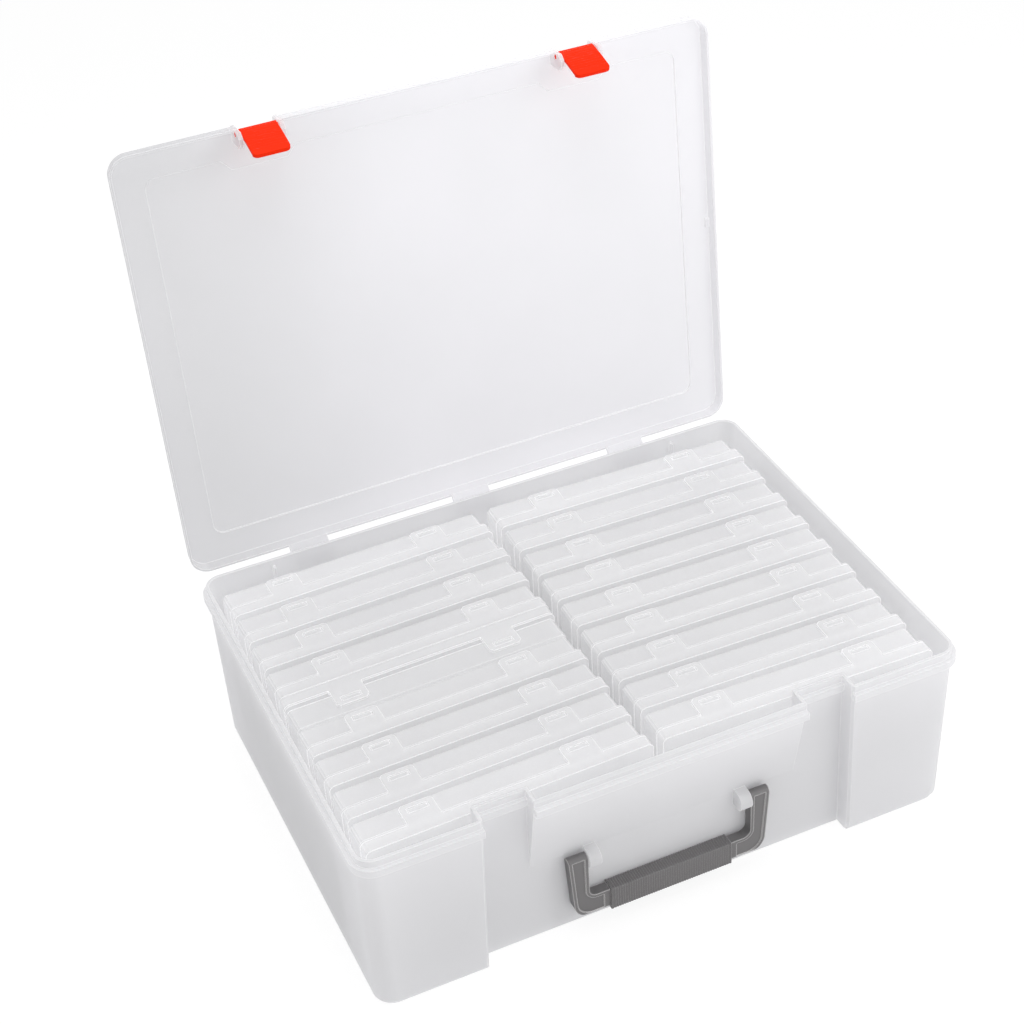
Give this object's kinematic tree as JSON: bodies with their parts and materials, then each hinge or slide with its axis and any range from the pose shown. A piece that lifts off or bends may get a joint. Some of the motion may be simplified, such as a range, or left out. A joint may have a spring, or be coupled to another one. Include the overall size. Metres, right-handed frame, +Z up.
{
  "type": "photo keeper case",
  "caption": "Frosted lidded tub with a bail handle and swing latches, filled with small upright photo cases that lift out.",
  "frame": {"origin": "middle of the tub's footprint, on the surface it stands on", "axes": "+X to the right along the front, +Y from the front to the hinge side, +Z up"},
  "size_m": [0.3852, 0.3275, 0.3978],
  "materials": {
    "frosted_plastic": "frosted natural polypropylene, satin and cloudy",
    "clear_plastic": "clear polypropylene, slightly cloudy",
    "orange_plastic": "orange-red, soft gloss",
    "grey_plastic": "mid grey, soft gloss",
    "grey_grip": "mid grey, finely ribbed"
  },
  "bodies": {
    "tub": {"tub": "frosted_plastic"},
    "lid": {"lid": "frosted_plastic"},
    "left_latch": {"left_latch": "orange_plastic"},
    "right_latch": {"right_latch": "orange_plastic"},
    "handle": {"handle": "grey_plastic", "handle_grip": "grey_grip"},
    "left_case_1": {"left_case_1_body": "clear_plastic", "left_case_1_lid": "clear_plastic"},
    "left_case_2": {"left_case_2_body": "clear_plastic", "left_case_2_lid": "clear_plastic"},
    "left_case_3": {"left_case_3_body": "clear_plastic", "left_case_3_lid": "clear_plastic"},
    "left_case_4": {"left_case_4_body": "clear_plastic", "left_case_4_lid": "clear_plastic"},
    "left_case_5": {"left_case_5_body": "clear_plastic", "left_case_5_lid": "clear_plastic"},
    "left_case_6": {"left_case_6_body": "clear_plastic", "left_case_6_lid": "clear_plastic"},
    "left_case_7": {"left_case_7_body": "clear_plastic", "left_case_7_lid": "clear_plastic"},
    "left_case_8": {"left_case_8_body": "clear_plastic", "left_case_8_lid": "clear_plastic"},
    "left_case_9": {"left_case_9_body": "clear_plastic", "left_case_9_lid": "clear_plastic"},
    "right_case_1": {"right_case_1_body": "clear_plastic", "right_case_1_lid": "clear_plastic"},
    "right_case_2": {"right_case_2_body": "clear_plastic", "right_case_2_lid": "clear_plastic"},
    "right_case_3": {"right_case_3_body": "clear_plastic", "right_case_3_lid": "clear_plastic"},
    "right_case_4": {"right_case_4_body": "clear_plastic", "right_case_4_lid": "clear_plastic"},
    "right_case_5": {"right_case_5_body": "clear_plastic", "right_case_5_lid": "clear_plastic"},
    "right_case_6": {"right_case_6_body": "clear_plastic", "right_case_6_lid": "clear_plastic"},
    "right_case_7": {"right_case_7_body": "clear_plastic", "right_case_7_lid": "clear_plastic"},
    "right_case_8": {"right_case_8_body": "clear_plastic", "right_case_8_lid": "clear_plastic"},
    "right_case_9": {"right_case_9_body": "clear_plastic", "right_case_9_lid": "clear_plastic"}
  },
  "joints": [
    {"name": "lid_hinge", "type": "hinge", "parent": "tub", "child": "lid", "pos_m": [0, 0.14565, 0.1127], "axis": [-1, 0, 0], "range_deg": [-95.4, 0]},
    {"name": "left_latch_hinge", "type": "hinge", "parent": "lid", "child": "left_latch", "pos_m": [-0.1018, 0.17574, 0.39492], "axis": [-1, 0, 0], "range_deg": [-9, 105]},
    {"name": "right_latch_hinge", "type": "hinge", "parent": "lid", "child": "right_latch", "pos_m": [0.1018, 0.17574, 0.39492], "axis": [-1, 0, 0], "range_deg": [-9, 105]},
    {"name": "handle_hinge", "type": "hinge", "parent": "tub", "child": "handle", "pos_m": [0, -0.13075, 0.0549], "axis": [-1, 0, 0], "range_deg": [0, 160]},
    {"name": "left_case_1_lift", "type": "slide", "parent": "tub", "child": "left_case_1", "axis": [0, 0, 1], "range_m": [0, 0.12]},
    {"name": "left_case_2_lift", "type": "slide", "parent": "tub", "child": "left_case_2", "axis": [0, 0, 1], "range_m": [0, 0.12]},
    {"name": "left_case_3_lift", "type": "slide", "parent": "tub", "child": "left_case_3", "axis": [0, 0, 1], "range_m": [0, 0.12]},
    {"name": "left_case_4_lift", "type": "slide", "parent": "tub", "child": "left_case_4", "axis": [0, 0, 1], "range_m": [0, 0.12]},
    {"name": "left_case_5_lift", "type": "slide", "parent": "tub", "child": "left_case_5", "axis": [0, 0, 1], "range_m": [0, 0.12]},
    {"name": "left_case_6_lift", "type": "slide", "parent": "tub", "child": "left_case_6", "axis": [0, 0, 1], "range_m": [0, 0.12]},
    {"name": "left_case_7_lift", "type": "slide", "parent": "tub", "child": "left_case_7", "axis": [0, 0, 1], "range_m": [0, 0.12]},
    {"name": "left_case_8_lift", "type": "slide", "parent": "tub", "child": "left_case_8", "axis": [0, 0, 1], "range_m": [0, 0.12]},
    {"name": "left_case_9_lift", "type": "slide", "parent": "tub", "child": "left_case_9", "axis": [0, 0, 1], "range_m": [0, 0.12]},
    {"name": "right_case_1_lift", "type": "slide", "parent": "tub", "child": "right_case_1", "axis": [0, 0, 1], "range_m": [0, 0.12]},
    {"name": "right_case_2_lift", "type": "slide", "parent": "tub", "child": "right_case_2", "axis": [0, 0, 1], "range_m": [0, 0.12]},
    {"name": "right_case_3_lift", "type": "slide", "parent": "tub", "child": "right_case_3", "axis": [0, 0, 1], "range_m": [0, 0.12]},
    {"name": "right_case_4_lift", "type": "slide", "parent": "tub", "child": "right_case_4", "axis": [0, 0, 1], "range_m": [0, 0.12]},
    {"name": "right_case_5_lift", "type": "slide", "parent": "tub", "child": "right_case_5", "axis": [0, 0, 1], "range_m": [0, 0.12]},
    {"name": "right_case_6_lift", "type": "slide", "parent": "tub", "child": "right_case_6", "axis": [0, 0, 1], "range_m": [0, 0.12]},
    {"name": "right_case_7_lift", "type": "slide", "parent": "tub", "child": "right_case_7", "axis": [0, 0, 1], "range_m": [0, 0.12]},
    {"name": "right_case_8_lift", "type": "slide", "parent": "tub", "child": "right_case_8", "axis": [0, 0, 1], "range_m": [0, 0.12]},
    {"name": "right_case_9_lift", "type": "slide", "parent": "tub", "child": "right_case_9", "axis": [0, 0, 1], "range_m": [0, 0.12]}
  ]
}
